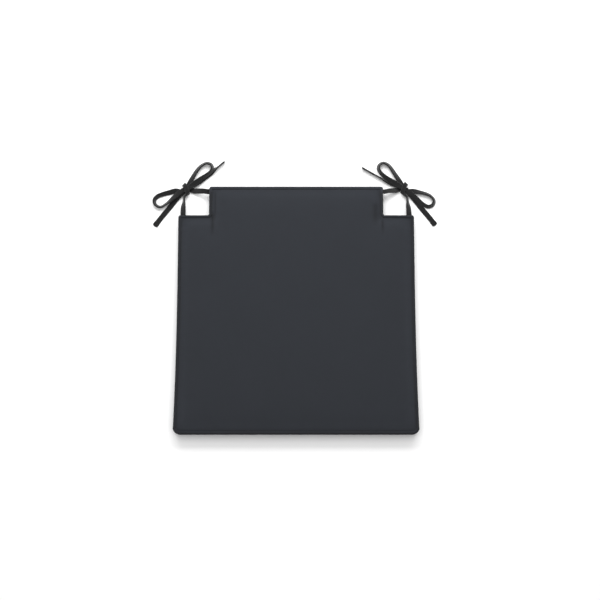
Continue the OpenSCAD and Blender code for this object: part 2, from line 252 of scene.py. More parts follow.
def blown_up(mesh_piece, seam, pressure, frames):
    """Where a sheet's points go when it is held at its seam and pushed from below."""
    group = mesh_piece.vertex_groups.new(name="seam")
    group.add(seam, 1.0, "REPLACE")
    cloth = mesh_piece.modifiers.new("crown", "CLOTH")
    cloth.settings.quality = 6
    cloth.settings.mass = 0.25
    cloth.settings.tension_stiffness = 18
    cloth.settings.compression_stiffness = 18
    cloth.settings.shear_stiffness = 6
    cloth.settings.bending_stiffness = 0.4
    cloth.settings.shrink_min = -0.004
    cloth.settings.vertex_group_mass = "seam"
    cloth.settings.use_pressure = True
    cloth.settings.uniform_pressure_force = pressure
    cloth.settings.effector_weights.gravity = 0
    cloth.collision_settings.use_collision = False
    cloth.point_cache.frame_start = 1
    cloth.point_cache.frame_end = frames
    for number in range(1, frames + 1):
        bpy.context.scene.frame_set(number)
    shown = mesh_piece.evaluated_get(bpy.context.evaluated_depsgraph_get())
    places = np.array([v.co for v in shown.data.vertices], float)
    mesh_piece.modifiers.remove(cloth)
    mesh_piece.vertex_groups.clear()
    bpy.context.scene.frame_set(1)
    return places


def ripples(run, waves, seed):
    """A smooth uneven wave along a seam, about 1 high, from a few wavelengths."""
    total = 0
    for i, wave in enumerate(waves):
        total = total + np.sin(2 * math.pi * run / wave + seed * (1.7 + i) + 2.3 * i)
    return total / len(waves)


cloth_t = 0.9 * mm
panel_inset = 5.3 * mm
panel_seam_z = (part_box("welt_upper_casing")[0].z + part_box("welt_upper_casing")[1].z) / 2
panel_edge_z = panel_seam_z + 1.2 * mm
crown_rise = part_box("top_panel")[1].z - panel_edge_z
crown_reach = 15 * mm

cover_tone = (0.0176, 0.0200, 0.0252)
yarn = 0.45 * mm
cover_cloth = woven("charcoal_cover_cloth", cover_tone, yarn)


def crown(d):
    """Height of the filled panel above its seam, at a distance from the seam."""
    return crown_rise * (1 - np.exp(-d / crown_reach))


top_cell = 5 * mm
crown_pressure = 4
crown_frames = 20
most_moved = 3 * mm
pucker_high = 0.22 * mm
wander_high = 0.3 * mm
cut, cut_edge = panel_points(panel_inset, top_cell)
flat = np.array(list(cut.values()))
quads, number_of = panel_faces(cut)
start_z = panel_edge_z + 0.55 * crown(from_seam(flat[:, 0], flat[:, 1], panel_inset))
start = np.column_stack([flat, start_z])
top_panel = piece("cover_top_panel", start, quads, cover_cloth)
seam = [number_of[k] for k in cut_edge]
moved = blown_up(top_panel, seam, crown_pressure, crown_frames) - start
far = np.linalg.norm(moved, axis=1, keepdims=True)
moved *= most_moved * np.tanh(far / most_moved) / np.maximum(far, 1e-9)
top_panel.data.vertices.foreach_set("co", (start + moved).ravel())
smooth = top_panel.modifiers.new("smooth", "SUBSURF")
smooth.levels = smooth.render_levels = 1
shown = top_panel.evaluated_get(bpy.context.evaluated_depsgraph_get())
fine = bpy.data.meshes.new_from_object(shown)
top_panel.modifiers.clear()
top_panel.data = fine
co = np.array([v.co for v in fine.vertices], float)

# Blend the swollen sheet into the crown that the wadding gives it, then sew in the puckers
depth = from_seam(co[:, 0], co[:, 1], panel_inset)
filled = panel_edge_z + crown(depth)
co[:, 2] = filled + 0.35 * np.clip(co[:, 2] - filled, -1.5 * mm, 0.6 * mm)
around = np.where(np.abs(np.abs(co[:, 0]) - side_at(co[:, 1])) < 60 * mm, co[:, 1], co[:, 0])
pucker = ripples(around, (11 * mm, 17 * mm, 29 * mm), 1.3)
co[:, 2] += pucker_high * pucker * np.exp(-((depth - 4 * mm) / (6 * mm)) ** 2)
wander = ripples(co[:, 0] + 0.6 * co[:, 1], (95 * mm, 143 * mm), 0.4)
co[:, 2] += wander_high * wander * (1 - np.exp(-depth / (30 * mm)))
# A crease runs down one line of x, between two places along y, and is so deep and so wide
creases = (
    (6.5 * mm - tongue_half, notch_y + 6 * mm, notch_y - 40 * mm, 1.5 * mm, 3 * mm),
    (11 * mm - tongue_half, back_y - 8 * mm, notch_y - 12 * mm, 0.7 * mm, 1.5 * mm),
    (tongue_half - 1.5 * mm, notch_y - 5 * mm, notch_y - 38 * mm, 1.5 * mm, 2.2 * mm),
    (tongue_half - 14 * mm, notch_y + 24 * mm, notch_y - 22 * mm, 0.8 * mm, 5 * mm),
)
shaded = 0 * depth
for x, y_from, y_to, deep, wide in creases:
    opens = np.clip((y_from - co[:, 1]) / (8 * mm), 0, 1)
    fades = np.clip((co[:, 1] - y_to) / (18 * mm), 0, 1)
    sunk = opens * fades * np.exp(-((co[:, 0] - x) / wide) ** 2)
    co[:, 2] -= deep * sunk
    shaded += sunk
fine.vertices.foreach_set("co", co.ravel())
lay = fine.attributes.new("threads", "FLOAT_VECTOR", "POINT")
lay.data.foreach_set("vector", np.column_stack([co[:, :2], 0 * depth]).astype(np.float32).ravel())
wear_and_shading_mask = fine.attributes.new("wear_and_painted_shading", "FLOAT", "POINT")
# Painted shade: the cloth is darkened along the creases, and in a narrow band at the seam groove
# everywhere but the back, where the lamp is. A lighter band runs about 9 mm in from the seam.
at_back = np.clip((co[:, 1] - back_y + 14 * mm) / (8 * mm), 0, 1)
wear_and_painted_shading = 0.5 * np.exp(-((depth - 9 * mm) / (6 * mm)) ** 2) - 2.4 * np.minimum(shaded, 1)
wear_and_painted_shading -= 1.2 * (1 - at_back) * np.exp(-(depth / (1.6 * mm)) ** 2)
wear_and_shading_mask.data.foreach_set("value", wear_and_painted_shading.astype(np.float32))
fine.polygons.foreach_set("use_smooth", [True] * len(fine.polygons))
thick = top_panel.modifiers.new("cloth_thickness", "SOLIDIFY")
thick.thickness = cloth_t
thick.offset = -1
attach(top_panel, "pad")
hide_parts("top_panel")

# ---- Bottom panel ----
# The underside of the cover, cut from the same cloth and to the same pattern as the top. It
# lies flat on the seat and turns up only in its last few millimetres, into the lower welt.
lower_seam_z = (foot_lo.z + foot_hi.z) / 2
turn_up = 7 * mm
bottom_cell = 3.5 * mm


def closed_slab(cell, layers):
    """Points and faces of a solid, from its lowest to its highest layer.

    Each layer is its inset from the pad's edge, and its height as a function of x and y.
    """
    verts, faces, loops = [], [], []
    for i, (inset, height) in enumerate(layers):
        at, rim = panel_points(inset, cell)
        first = len(verts)
        if i in (0, len(layers) - 1):
            found, names = panel_faces(at, first)
            faces += [f[::-1] for f in found] if i == 0 else found
            verts += [(x, y, height(x, y)) for x, y in at.values()]
            loops.append([names[k] for k in rim])
        else:
            verts += [(*at[k], height(*at[k])) for k in rim]
            loops.append(list(range(first, first + len(rim))))
    for low, high in zip(loops, loops[1:]):
        for i in range(len(low)):
            j = (i + 1) % len(low)
            faces.append([low[i], low[j], high[j], high[i]])
    return np.array(verts), faces


def underside(x, y):
    """Height of the panel's outer face: flat, with faint unevenness, and turned up at its edge."""
    d = from_seam(x, y, panel_inset)
    up = np.clip(1 - d / turn_up, 0, 1)
    return lower_seam_z * up ** 2 + 0.1 * mm * (1 + math.sin(x / (31 * mm)) * math.cos(y / (43 * mm)))


verts, faces = closed_slab(bottom_cell, [
    (panel_inset, underside),
    (panel_inset, lambda x, y: underside(x, y) + cloth_t),
])
bottom_panel = piece("cover_bottom_panel", verts, faces, cover_cloth, verts * (1, 1, 0))
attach(bottom_panel, "pad")
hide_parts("bottom_panel")

# ---- Welts ----
# A soft cotton filler cord in a strip of cover cloth cut on the bias, folded round the cord
# and sewn into the edge seam all round the pad: one round the top panel, one round the bottom.
seam_gap = 0.4 * mm
side_seam_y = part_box("boxing_main")[1].y
back_seam_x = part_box("zip_strip_upper")[1].x


def bend(cx, cy, r, start, end, steps):
    """Points of a round corner, from one angle to another, without the last."""
    turns = np.radians(np.linspace(start, end, steps + 1)[:-1])
    return np.column_stack([cx + r * np.cos(turns), cy + r * np.sin(turns)])


def straight(a, b, steps):
    """Points of a straight run, without the last."""
    return np.linspace(a, b, steps + 1)[:-1]


def pattern(inset, step=2.5 * mm):
    """The pad's outline moved in by inset, from the front middle round to the right.

    With it come the places in it of the right side seam and the right back seam.
    """
    rf, rs, rt = (max(r - inset, least_r) for r in (front_r, side_r, tongue_r))
    rn = min(notch_r + inset, most_r)
    yf, yn, yb, xt = front_y + inset, notch_y - inset, back_y - inset, tongue_half - inset
    xf, xs = front_half - inset, side_half - inset
    cut_y = min(side_seam_y, yn - rs - seam_gap)
    cut_x = min(back_seam_x, xt - rt - seam_gap)
    ys = np.linspace(yf + rf, cut_y, round((notch_y - front_y) / step) + 1)[:-1]
    parts = [
        straight((0, yf), (xf - rf, yf), round(front_half / step)),
        bend(xf - rf, yf + rf, rf, -90, 0, 8),
        np.column_stack([side_at(ys) - inset, ys]),
        straight((xs, cut_y), (xs, yn - rs), 1),
        bend(xs - rs, yn - rs, rs, 0, 90, 5),
        straight((xs - rs, yn), (xt + rn, yn), round((side_half - tongue_half) / step)),
        bend(xt + rn, yn + rn, rn, 270, 180, 7),
        straight((xt, yn + rn), (xt, yb - rt), round((back_y - notch_y) / step)),
        bend(xt - rt, yb - rt, rt, 0, 90, 5),
        straight((xt - rt, yb), (cut_x, yb), 1),
        straight((cut_x, yb), (0, yb), round(tongue_half / step)),
    ]
    right = np.vstack(parts + [[(0, yb)]])
    left = right[-2:0:-1] * (-1, 1)
    counts = np.cumsum([len(p) for p in parts])
    return np.vstack([right, left]), counts[2], counts[9]


def skin(rings, capped=False):
    """Points and faces of a tube through rings of points, capped at its ends or joined in a loop."""
    n, k = rings.shape[:2]
    i, j = np.meshgrid(np.arange(n - 1 if capped else n), np.arange(k), indexing="ij")
    a, b, c = i * k, (i + 1) % n * k, (j + 1) % k
    kinds = [np.stack([a + j, b + j, b + c, a + c], -1).reshape(-1, 4)]
    if capped:
        kinds += [np.arange(k)[None], np.arange(n * k - 1, (n - 1) * k - 1, -1)[None]]
    points = rings.reshape(-1, 3)
    volume = 0
    for kind in kinds:
        p = points[kind]
        for m in range(1, kind.shape[1] - 1):
            volume += (p[:, 0] * np.cross(p[:, m], p[:, m + 1])).sum()
    outward = 1 if volume > 0 else -1
    return points, [face[::outward].tolist() for kind in kinds for face in kind]


def run_of(line):
    """Distance along a line at each of its points."""
    ahead = np.linalg.norm(np.diff(line, axis=0), axis=1)
    return np.concatenate([[0], np.cumsum(ahead)])


def edge_tube(height, radius, sides, waver):
    """Rings of a cord that lies in the edge seam, with the place of each point on its cloth."""
    middle = pattern(welt_r)[0]
    run = run_of(middle)
    fat = radius * (1 + waver * ripples(run, (13 * mm, 23 * mm, 41 * mm), 2.1))
    lift = 0.12 * mm * ripples(run, (67 * mm, 131 * mm), 0.9)
    rings, lay = [], []
    for i in range(sides):
        turn = 2 * math.pi * i / sides
        line = pattern(welt_r + radius * math.cos(turn))[0]
        out = middle + (line - middle) * (fat / radius)[:, None]
        rings.append(np.column_stack([out, height + lift - fat * math.sin(turn)]))
        lay.append(np.column_stack([run, 0 * run + turn * radius]))
    return np.stack(rings, 1), np.stack(lay, 1)


def filler_cord():
    """Soft twisted cotton: pale, matt, with a fine slanting rope pattern."""
    material, tree, shader = blank("cotton_filler_cord")
    lay = wire(tree, "ShaderNodeAttribute", {}, 1, attribute_name="threads")
    twist = {"Vector": lay, "Scale": 120, "Distortion": 1.5}
    wave = wire(tree, "ShaderNodeTexWave", twist, 1, bands_direction="DIAGONAL")
    colour = mixed(tree, wave, (0.62, 0.6, 0.55), (0.85, 0.83, 0.78))
    surfaced(tree, shader, colour, (0.98, 0.88), wave, 0.6, 0.3 * mm)
    return material


# Painted shade: the welts are cover cloth, but their tone is set at about half the cover's, so that
# their sides look shaded.
welt_shaded_tone = (0.0094, 0.0104, 0.0128)
welt_shaded_cloth = woven("bias_welt_cloth_painted_shade", welt_shaded_tone, yarn, sheen=0.12, wear_and_shading_strength=0.9)
cotton = filler_cord()
filler_r = 1.9 * mm
casing_sides, lining_sides, filler_sides = 18, 12, 10
casing_waver, filler_waver = 0.02, 0.03
bias = math.sqrt(0.5)
for edge_name, seam_z in (("upper", panel_seam_z), ("lower", lower_seam_z)):
    rings, lay = edge_tube(seam_z, welt_r, casing_sides, casing_waver)
    rings[..., 2] = np.maximum(rings[..., 2], 0.05 * mm)
    hollow, inner_lay = edge_tube(seam_z, welt_r - cloth_t, lining_sides, casing_waver)
    verts, faces = skin(rings)
    inside, inner_faces = skin(hollow)
    faces += [[len(verts) + i for i in f[::-1]] for f in inner_faces]
    flat_lay = np.vstack([lay.reshape(-1, 2), inner_lay.reshape(-1, 2)])
    length, across = flat_lay.T
    threads = np.column_stack([bias * (length + across), bias * (length - across), 0 * length])
    turn = np.tile(np.arange(casing_sides), len(rings)) * 2 * math.pi / casing_sides
    # Lighter along the welt's top, partly as wear and partly as a painted highlight almost three times
    # as strong at the back, where the lamp is. Darker down its outer flank everywhere but the back, as
    # painted shade.
    at_back = np.clip((verts[:, 1] - back_y + 12 * mm) / (4 * mm), 0, 1)
    welt_wear_highlight_and_shade = (1 + 1.9 * at_back) * np.clip(-np.sin(turn), 0, 1) ** 2
    welt_wear_highlight_and_shade -= 0.85 * (1 - at_back) * np.clip(-np.cos(turn), 0, 1)
    welt_wear_highlight_and_shade = np.concatenate([welt_wear_highlight_and_shade, np.zeros(len(inside))])
    verts = np.vstack([verts, inside])
    casing = piece(f"welt_{edge_name}_casing_cloth", verts, faces, welt_shaded_cloth, threads, welt_wear_highlight_and_shade)
    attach(casing, "pad")
    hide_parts(f"welt_{edge_name}_casing")
    rings, lay = edge_tube(seam_z, filler_r, filler_sides, filler_waver)
    verts, faces = skin(rings)
    threads = np.column_stack([lay.reshape(-1, 2), np.zeros(len(verts))])
    filler = piece(f"welt_{edge_name}_filler_cord", verts, faces, cotton, threads)
    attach(filler, "pad")
    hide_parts(f"welt_{edge_name}_filler")

# ---- Ties ----
# Four tapes, each a strip of black cloth folded in on itself and stitched along its open edge.
# Each is caught in a welt seam at the mouth of a notch, one in the side and one in the back,
# and the two of a corner are knotted together in a bow that lies beside the pad.
tie_w = 9.5 * mm
tie_t = 2.5 * mm
# A route point is x, y and z in millimetres, then the heading of the tape's width, and how far
# that width leans from flat (0) to upright (90), both in degrees
tie_routes = {
    "left_side": (
        (-201.5, 165, 19.7, 0, 0), (-201.5, 171, 19.7, 0, 0), (-201.7, 178, 17.8, 0, 15),
        (-201.8, 186, 14.5, -2, 35), (-201.5, 195, 10.5, -4, 66), (-201, 204, 7, -8, 72),
        (-200, 211.5, 4.6, -18, 35), (-197.5, 219, 3.6, -30, 0), (-193.5, 227.5, 3.8, -28, 12),
        (-189, 236, 4.2, -28, 25), (-184, 245.5, 4.3, -30, 38), (-178, 255, 4.7, -38, 46),
        (-170.5, 263, 5.1, -50, 54), (-161.5, 267.5, 5.6, -84, 60), (-153.8, 265, 7, -132, 62),
        (-150.8, 258, 8.4, -178, 64), (-153, 251, 9.3, -208, 62), (-161, 244.3, 9.1, -226, 56),
        (-171, 238, 8.8, -233, 48), (-184, 228.3, 7.8, -233, 22), (-198, 217.5, 6.9, -231, 0),
        (-206.5, 210.8, 5.6, -228, 0), (-213.5, 204, 3.2, -222, 0), (-220, 196, 1.8, -218, 0),
        (-229, 184.5, 1.3, -218, 0), (-241.5, 169, 1.3, -220, 0), (-254, 152.5, 1.3, -222, 0),
    ),
    "left_back": (
        (-152, 212.5, 17, 90, 30), (-158, 212.5, 17, 90, 30), (-166, 214, 14.6, 85, 30),
        (-175, 215.2, 9.5, 82, 22), (-182, 216.2, 4.4, 78, 10), (-188, 218, 1.9, 68, 0),
        (-193, 221.5, 1.5, 56, 0), (-198.3, 225.1, 1.8, 49, 0), (-200.9, 227, 3.4, 48, 0),
        (-202, 227.6, 6.6, 46, 0), (-201.3, 226.6, 9.8, 42, 0), (-199.5, 223.9, 11.9, 36, 0),
        (-197, 219, 12.4, 28, 0), (-195.2, 213.2, 11.8, 28, 0), (-194.8, 209.4, 9.6, 32, -8),
        (-196.4, 207.8, 6.2, 38, -8), (-199.4, 208.8, 3, 48, 0), (-203.6, 211.8, 1.6, 64, 0),
        (-208.5, 214.8, 1.6, 84, 0), (-216, 216.8, 2.4, 102, 16), (-228, 213.6, 4.4, 107, 40),
        (-239.5, 210.3, 4.9, 108, 50), (-248.8, 206.4, 5.1, 124, 56), (-254.6, 199.3, 5.2, 168, 60),
        (-252.4, 191, 5.2, 222, 62), (-244, 187, 5.2, 274, 60), (-232.5, 193, 5.7, 306, 58),
        (-219, 204.6, 8, 310, 32), (-206.5, 214.6, 9.4, 309, 6), (-198.5, 219.8, 9.5, 300, 0),
        (-188.5, 224.2, 7.8, 298, 10), (-177, 231, 4.2, 305, 20), (-165, 240.8, 2.6, 309, 14),
        (-154.5, 249.2, 2.3, 309, 12), (-147, 255.6, 4.2, 309, 48), (-139, 262.2, 5.2, 309, 78),
        (-128.5, 270.6, 5.2, 309, 84),
    ),
    "right_side": (
        (201, 165, 19.7, 180, 0), (201, 171, 19.7, 180, 0), (200.7, 178, 17.8, 180, 15),
        (200.4, 186, 14.5, 182, 35), (199.8, 195, 10.5, 184, 66), (199, 204, 7, 188, 72),
        (197.6, 212, 4.6, 200, 35), (194.5, 220, 3.6, 214, 0), (189.5, 228.5, 3.8, 214, 12),
        (184, 237.5, 4.2, 214, 25), (178, 247, 4.3, 214, 38), (172, 256.5, 4.7, 218, 46),
        (166, 264, 5.1, 234, 54), (157.5, 268, 5.6, 266, 60), (150.2, 264.4, 7, 312, 62),
        (147.9, 257, 8.4, 352, 64), (151.6, 248.8, 9.3, 394, 62), (160, 241, 9.1, 408, 56),
        (170.5, 234.3, 8.8, 414, 48), (182.5, 227.2, 7.8, 414, 22), (195, 219, 6.9, 412, 0),
        (202.5, 212.6, 5.6, 408, 0), (209.5, 205, 3.2, 404, 0), (216, 196.8, 1.8, 401, 0),
        (225.5, 184.5, 1.3, 400, 0), (237.5, 170, 1.3, 401, 0), (249.7, 154, 1.3, 403, 0),
    ),
    "right_back": (
        (152, 212.5, 17, 90, -30), (158, 212.5, 17, 90, -30), (165, 214.4, 14.6, 95, -30),
        (173, 216.2, 9.5, 99, -22), (179.5, 217.8, 4.4, 103, -10), (184.5, 219.8, 1.9, 112, 0),
        (189.2, 223.4, 1.5, 124, 0), (194.4, 226.8, 1.8, 131, 0), (196.9, 228.6, 3.4, 133, 0),
        (198, 229.2, 6.6, 135, 0), (197.3, 228.2, 9.8, 139, 0), (195.6, 225.5, 11.9, 145, 0),
        (193.2, 220.4, 12.4, 153, 0), (191.4, 214.6, 11.8, 153, 0), (191, 210.8, 9.6, 149, -8),
        (192.6, 209.2, 6.2, 142, -8), (195.6, 210.2, 3, 132, 0), (199.8, 213.1, 1.6, 116, 0),
        (204.5, 215.8, 1.6, 97, 0), (211, 216.4, 2.4, 80, -16), (222, 214, 4.4, 77, -40),
        (233, 211.2, 4.9, 74, -50), (241.8, 206.8, 5.1, 56, -56), (247.6, 199.3, 5.2, 12, -60),
        (245.6, 191.2, 5.2, -44, -62), (237.6, 187.4, 5.2, -92, -64), (227, 192.2, 5.8, -122, -64),
        (214, 203, 8, -128, -36), (202.5, 213.2, 9.4, -132, -6), (194.5, 220, 9.5, -126, 0),
        (184.5, 225.2, 7.8, -116, -10), (173, 230, 4.2, -112, -5), (161, 235.6, 4.3, -116, 45),
        (150, 241.3, 5.1, -118, 76), (141, 246.2, 5.2, -119, 82), (131, 251.8, 5.2, -120, 84),
        (118, 259.3, 5.2, -121, 85),
    ),
}
knots = {"left": (-198.5, 219.5, 7), "right": (194.5, 221, 7)}
knot_grip = 9 * mm
# Half of the folded tape's section, in half widths and half thicknesses, from edge to edge:
# the round fold, the flat of the tape, the dent along the stitching, and the two turned-in edges
tie_section = (
    (1, 0), (0.985, 0.45), (0.93, 0.8), (0.82, 0.95), (0.5, 1), (0, 0.98), (-0.45, 0.96),
    (-0.6, 0.84), (-0.68, 0.66), (-0.76, 0.84), (-0.88, 0.95), (-0.96, 0.72), (-0.985, 0.4),
    (-0.93, 0.04),
)
stitch_at = -0.68
stitch_pitch = 2.9 * mm
stitch_long = 2.3 * mm
thread_r = 0.2 * mm


def smooth_route(points, step):
    """The route as an even, smooth line, from a curve through its points (centripetal Catmull-Rom)."""
    p = np.array(points, float)
    p = np.vstack([2 * p[0] - p[1], p, 2 * p[-1] - p[-2]])
    chords = np.linalg.norm(np.diff(p[:, :3], axis=0), axis=1)
    marks = np.concatenate([[0], np.cumsum(chords ** 0.5)])
    out = []
    for i in range(1, len(p) - 2):
        t0, t1, t2, t3 = marks[i - 1:i + 3]
        for t in np.linspace(t1, t2, 9)[:-1]:
            a1 = ((t1 - t) * p[i - 1] + (t - t0) * p[i]) / (t1 - t0)
            a2 = ((t2 - t) * p[i] + (t - t1) * p[i + 1]) / (t2 - t1)
            a3 = ((t3 - t) * p[i + 1] + (t - t2) * p[i + 2]) / (t3 - t2)
            b1 = ((t2 - t) * a1 + (t - t0) * a2) / (t2 - t0)
            b2 = ((t3 - t) * a2 + (t - t1) * a3) / (t3 - t1)
            out.append(((t2 - t) * b1 + (t - t1) * b2) / (t2 - t1))
    out = np.array(out + [p[-2]])
    run = run_of(out[:, :3])
    even = np.linspace(0, run[-1], round(run[-1] / step) + 1)
    return np.column_stack([np.interp(even, run, out[:, k]) for k in range(5)])


def unit(v):
    """Vectors of the same direction and length 1."""
    return v / np.maximum(np.linalg.norm(v, axis=-1, keepdims=True), 1e-12)


def tape_axes(route):
    """Centre, direction, width and face of the tape along its route."""
    centre = route[:, :3]
    ahead = unit(np.gradient(centre, axis=0))
    heading, lean = np.radians(route[:, 3]), np.radians(route[:, 4])
    flat_part = np.column_stack([np.cos(heading), np.sin(heading)]) * np.cos(lean)[:, None]
    wide = np.column_stack([flat_part, np.sin(lean)])
    wide = unit(wide - ahead * (wide * ahead).sum(1, keepdims=True))
    return centre, ahead, wide, np.cross(ahead, wide)


def add_tube(verts, faces, line, radius, sides):
    """Adds a thin closed tube along a line to the lists of points and faces."""
    line = np.asarray(line, float)
    ahead = unit(np.gradient(line, axis=0))
    side = unit(np.cross(ahead, np.where(np.abs(ahead[:, 2:]) > 0.9, (1, 0, 0), (0, 0, 1))))
    up = np.cross(ahead, side)
    turns = 2 * np.pi * np.arange(sides) / sides
    turned = side[:, None] * np.cos(turns)[:, None] + up[:, None] * np.sin(turns)[:, None]
    rings = line[:, None] + radius * turned
    points, found = skin(rings, capped=True)
    first = len(verts)
    verts.extend(map(tuple, points))
    faces.extend([[first + i for i in f] for f in found])


tie_step = 1.5 * mm
end_round = 1.2 * mm
hem_length, hem_fold, hem_wider = 9 * mm, 1.5 * mm, 0.08
knot_bunching = 0.3
tie_tone = (0.0078, 0.0078, 0.0081)
tie_cloth = woven("black_tie_cloth", tie_tone, 0.5 * mm, relief=0.6, sheen=0.3, slub=0.2)
thread_cloth = woven("black_sewing_thread", (0.02, 0.02, 0.021), 0.12 * mm, sheen=0.2, gloss=0.4)
section = [(u * tie_w / 2, v * tie_t / 2) for u, v in tie_section]
section += [(u, -v) for u, v in section[-2:0:-1]]
section = np.array(section)
section_run = run_of(section)
for tie_name, points in tie_routes.items():
    route = smooth_route([(x * mm, y * mm, z * mm, h, lean) for x, y, z, h, lean in points], tie_step)
    centre, ahead, wide, face = tape_axes(route)
    run = run_of(centre)
    to_end = run[-1] - run
    squeeze = np.sqrt(np.clip(to_end / end_round, 0.12, 1))
    hem = 1 + hem_wider * np.clip((hem_length - to_end) / hem_fold, 0, 1)
    knot = np.array(knots[tie_name.split("_")[0]]) * mm
    bunched = np.exp(-(np.linalg.norm(centre - knot, axis=1) / knot_grip) ** 2)
    spread = squeeze * hem * (1 - knot_bunching * bunched)
    rings = centre[:, None] + wide[:, None] * (spread[:, None] * section[:, 0])[..., None]
    rings = rings + face[:, None] * (squeeze[:, None] * section[:, 1])[..., None]
    verts, faces = skin(rings, capped=True)
    threads = np.stack(np.broadcast_arrays(run[:, None], section_run[None], 0), -1).reshape(-1, 3)
    tie = piece(f"tie_{tie_name}_tape", verts, faces, tie_cloth, threads)
    sewn, sewn_faces = [], []
    for side in (1, -1):
        for start in np.arange(4 * mm, run[-1] - 4 * mm, stitch_pitch):
            at = start + stitch_long * np.array([0, 0.15, 0.5, 0.85, 1])
            sink = np.array([-0.25, 0.05, 0.15, 0.05, -0.25]) * mm
            spot, across, up = (
                np.column_stack([np.interp(at, run, axis[:, k]) for k in range(3)])
                for axis in (centre, wide, face)
            )
            off = stitch_at * tie_w / 2 * np.interp(at, run, spread)
            line = spot + across * off[:, None] + side * up * (0.66 * tie_t / 2 + sink)[:, None]
            add_tube(sewn, sewn_faces, line, thread_r, 5)
    stitching = piece(f"tie_{tie_name}_stitching", sewn, sewn_faces, thread_cloth, np.array(sewn))
    for made in (tie, stitching):
        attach(made, "pad")
    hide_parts(f"tie_{tie_name}")

# ---- Boxing ----
# The side wall of the cover: a long strip of the cover cloth round the sides and the front,
# and a short one round each notch, sewn end to end and held between the two welts. The foam
# pushes it out a little between its seams.
boxing_lo, boxing_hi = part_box("boxing_main")[0].z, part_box("boxing_main")[1].z
# Painted shade: the boxing, the zip strips and the end tabs are cover cloth, but their tone is set at
# about half the cover's, so that the pad's sides look shaded.
boxing_shaded_tone = (0.0094, 0.0104, 0.0127)
boxing_shaded_cloth = woven("charcoal_boxing_cloth_painted_shade", boxing_shaded_tone, yarn, sheen=0.12)
boxing_inset = welt_r
bulge = 0.9 * mm
tucked_in = 0.4 * mm


def cloth_wall(first, last, low, high, swell):
    """A strip of cloth along the pattern between two of its points, and the lay of its threads."""
    rows = 9
    count = len(pattern(boxing_inset)[0])
    span = [i % count for i in range(first, last + 1)]
    run = run_of(pattern(boxing_inset)[0][span])
    ends = np.minimum(run, run[-1] - run)
    dip = 0.8 * mm * np.exp(-ends / (1.1 * mm))
    up = np.linspace(0, 1, rows)
    rings = np.zeros((len(span), 2 * rows, 3))
    for i, t in enumerate(up):
        z = low + (high - low) * t
        near_seam = np.exp(-min(z - boxing_lo, boxing_hi - z) / (2.5 * mm))
        seed = 0.7 if z - boxing_lo < boxing_hi - z else 2.9
        uneven = 0.28 * mm * near_seam * ripples(run, (8 * mm, 13 * mm, 21 * mm), seed)
        full = max(0, math.sin(math.pi * (z - boxing_lo) / (boxing_hi - boxing_lo)))
        out = swell * full ** 0.8 + uneven - dip
        a, b = pattern(boxing_inset)[0][span], pattern(boxing_inset + cloth_t)[0][span]
        away = unit(a - b) * out[:, None]
        rings[:, i] = np.column_stack([a + away, 0 * run + z])
        rings[:, 2 * rows - 1 - i] = np.column_stack([b + away, 0 * run + z])
    verts, faces = skin(rings, capped=True)
    lay = np.stack(np.broadcast_arrays(run[:, None], rings[:, :, 2], 0), -1).reshape(-1, 3)
    return verts, faces, lay


ring, right_side_cut, right_back_cut = pattern(boxing_inset)
left_side_cut, left_back_cut = len(ring) - right_side_cut, len(ring) - right_back_cut
strips = {
    "boxing_main": (left_side_cut - len(ring), right_side_cut),
    "boxing_notch_right": (right_side_cut, right_back_cut),
    "boxing_notch_left": (left_back_cut, left_side_cut),
}
for node, (first, last) in strips.items():
    verts, faces, lay = cloth_wall(first, last, boxing_lo - tucked_in, boxing_hi + tucked_in, bulge)
    strip = piece(f"{node}_cloth", verts, faces, boxing_shaded_cloth, lay)
    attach(strip, "pad")
    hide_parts(node)
    length = run_of(ring[[i % len(ring) for i in range(first, last + 1)]])[-1]

# ---- Zip strips ----
# Two narrow strips of the cover cloth, which make the back boxing and hide the zip. Each is
# folded in two with its fold towards the gap, stitched along the fold onto the zip's tape,
# and sewn into a welt seam by its raw edges.
zip_lo, zip_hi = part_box("zip_strip_lower")[1].z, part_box("zip_strip_upper")[0].z
fold_t = 0.44 * mm
strip_t = 1.1 * mm
stitch_row = 0.45


def folded_strip(seam_z, fold_z, face_y):
    """A strip folded in two along fold_z, its two layers meeting again in the seam at seam_z."""
    toward = math.copysign(1, fold_z - seam_z)
    length = abs(fold_z - seam_z)
    turns = np.linspace(0, math.pi, 7)
    r, r_in = strip_t / 2, strip_t / 2 - fold_t
    flats = np.linspace(0, length - r, 6)
    outer = [(0, t) for t in flats]
    outer += [(r - r * math.cos(a), length - r + r * math.sin(a)) for a in turns[1:-1]]
    outer += [(strip_t, t) for t in flats[::-1]]
    inner = [(strip_t - fold_t, t) for t in flats]
    inner += [(r + r_in * math.cos(a), length - r + r_in * math.sin(a)) for a in turns[1:-1]]
    inner += [(fold_t, t) for t in flats[::-1]]
    section = np.array(outer + inner)
    xs = np.linspace(-back_seam_x + seam_gap, back_seam_x - seam_gap, 181)
    wave = 0.12 * mm * ripples(xs, (19 * mm, 31 * mm), 0.5 + toward)
    rings = np.zeros((len(xs), len(section), 3))
    rings[..., 0] = xs[:, None]
    rings[..., 1] = face_y - section[:, 0] + wave[:, None] * np.sin(np.pi * section[:, 1] / length)
    rings[..., 2] = seam_z + toward * section[:, 1]
    verts, faces = skin(rings, capped=True)
    return verts, faces, verts[:, [0, 2, 1]] * (1, 1, 0)


